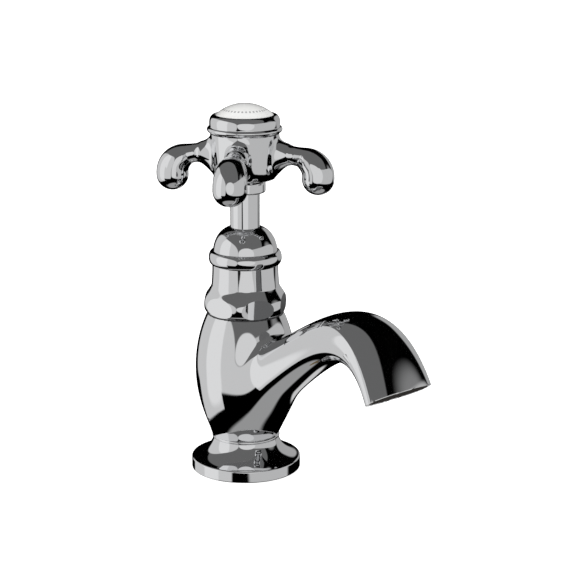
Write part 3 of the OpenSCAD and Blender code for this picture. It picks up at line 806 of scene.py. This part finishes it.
def bearing(azimuth, elevation):
    """A direction from the tap, turning from the camera's side (0) to the right (90), in degrees."""
    a, e = math.radians(azimuth), math.radians(elevation)
    return (-ahead * math.cos(a) + right * math.sin(a)) * math.cos(e) + up * math.sin(e)


def soft_light(name, azimuth, elevation, size, energy):
    """A broad lamp that gives the porcelain and the floor their gentle shading."""
    lamp = bpy.data.lights.new(name, "AREA")
    lamp.shape = "DISK"
    lamp.size = size
    lamp.energy = energy
    box = bpy.data.objects.new(name, lamp)
    bpy.context.scene.collection.objects.link(box)
    box.location = Vector((0, 0, 0.1)) + bearing(azimuth, elevation) * 1.5
    box.rotation_euler = (-bearing(azimuth, elevation)).to_track_quat("-Z", "Y").to_euler()
    box.visible_camera = False
    box.visible_glossy = False


soft_light("left_lamp", -70, 35, 1.0, 5)
soft_light("right_lamp", 55, 30, 1.0, 3)

start_piece()
bpy.ops.mesh.primitive_plane_add(size=6, location=(0, 0, -0.0001))
floor = bpy.context.object
floor.name = "floor"
pale, shader, place = new_material("pale_floor", (0.9, 0.9, 0.9), 0.0, 0.8)
shader.inputs["Emission Color"].default_value = (1, 1, 1, 1)
shader.inputs["Emission Strength"].default_value = 0.6
vary(pale, place, shader.inputs["Roughness"], 0.7, 0.9, 3, 2)
floor.data.materials.append(pale)
floor.visible_glossy = False

world = bpy.data.worlds.new("studio")
bpy.context.scene.world = world
world.use_nodes = True
nodes, links = world.node_tree.nodes, world.node_tree.links


def sums(operation, a, b=None, c=None):
    """One step of arithmetic in the world's shader."""
    node = nodes.new("ShaderNodeMath")
    node.operation = operation
    for k, value in enumerate((a, b, c)):
        if value is None:
            continue
        if isinstance(value, (int, float)):
            node.inputs[k].default_value = value
        else:
            links.new(value, node.inputs[k])
    return node.outputs[0]


sky = nodes.new("ShaderNodeTexCoord").outputs["Generated"]
parts = nodes.new("ShaderNodeSeparateXYZ")
links.new(sky, parts.inputs[0])
sideways = sums("ADD", sums("MULTIPLY", parts.outputs[0], right.x), sums("MULTIPLY", parts.outputs[1], right.y))
forward = sums("ADD", sums("MULTIPLY", parts.outputs[0], -ahead.x), sums("MULTIPLY", parts.outputs[1], -ahead.y))
azimuth = sums("MULTIPLY", sums("ARCTAN2", sideways, forward), 180 / math.pi)
height = sums("MINIMUM", sums("MAXIMUM", parts.outputs[2], -1.0), 1.0)
elevation = sums("MULTIPLY", sums("ARCSINE", height), 180 / math.pi)


def step_up(value, low, high):
    """Rises softly from 0 to 1 as the value goes from low to high."""
    spread = nodes.new("ShaderNodeMapRange")
    spread.interpolation_type = "SMOOTHSTEP"
    spread.inputs["From Min"].default_value = low
    spread.inputs["From Max"].default_value = high
    links.new(value, spread.inputs["Value"])
    return spread.outputs["Result"]


def panel(middle, half_width, rise, half_height, edge, squareness):
    """How much of a soft box with round corners is seen in each direction, 1 on it and 0 off it."""
    across = sums("ABSOLUTE", sums("DIVIDE", sums("SUBTRACT", azimuth, middle), half_width))
    along = sums("ABSOLUTE", sums("DIVIDE", sums("SUBTRACT", elevation, rise), half_height))
    reach = sums("ADD", sums("POWER", across, squareness), sums("POWER", along, squareness))
    return step_up(sums("POWER", reach, 1 / squareness), 1 + edge, 1 - edge)


# the dim sheet ends on a slanted line to the right; the left box reaches lower on its far side
slant = sums("ADD", sums("MULTIPLY", forward, 0.795), sums("MULTIPLY", sideways, -0.498))
lean = sums("ADD", slant, sums("MULTIPLY", parts.outputs[2], 0.348))
overhead = sums("MULTIPLY", step_up(lean, -0.07, -0.02), step_up(elevation, 1.0, 4.0))
shelf = sums("MAXIMUM", step_up(elevation, -25, -22), step_up(azimuth, -61, -62))
left_box = sums("MULTIPLY", panel(-84, 61, -0.5, 38, 0.03, 2.4), shelf)
left_middle = sums("MULTIPLY", left_box, panel(-79, 22, 4, 36, 0.10, 3.0))
light = sums("ADD", 0.0, 0.0)
for seen, glow in (
        (overhead, 0.135),                               # dim sheet over the camera
        (step_up(elevation, -58, -64), 0.33),            # the bench below the tap
        (panel(146, 24, 6, 22, 0.10, 2.6), 0.40),        # reflector behind on the right
        (panel(167, 8, -37, 5, 0.3, 2.2), 0.60),         # a small card that lights the mouth's rim
        (panel(94, 12, 12, 12, 0.5, 2.0), 0.22),         # a soft spot on the right
        (panel(54, 69, -3, 22, 0.035, 2.3), 0.52),       # right soft box
        (panel(5, 28, 3, 21, 0.05, 2.2), 0.70),          # its bright end
        (left_box, 0.61),                                # left soft box
        (left_middle, 0.79)):                            # its bright middle
    light = sums("ADD", sums("MULTIPLY", light, sums("SUBTRACT", 1.0, seen)), sums("MULTIPLY", seen, glow))

background = nodes["Background"]
rays = nodes.new("ShaderNodeLightPath").outputs["Is Glossy Ray"]
glow = sums("ADD", sums("MULTIPLY", rays, light), sums("MULTIPLY", sums("SUBTRACT", 1.0, rays), 1.0))
links.new(glow, background.inputs["Color"])
background.inputs["Strength"].default_value = 1.0
bpy.context.scene.view_settings.view_transform = "Standard"
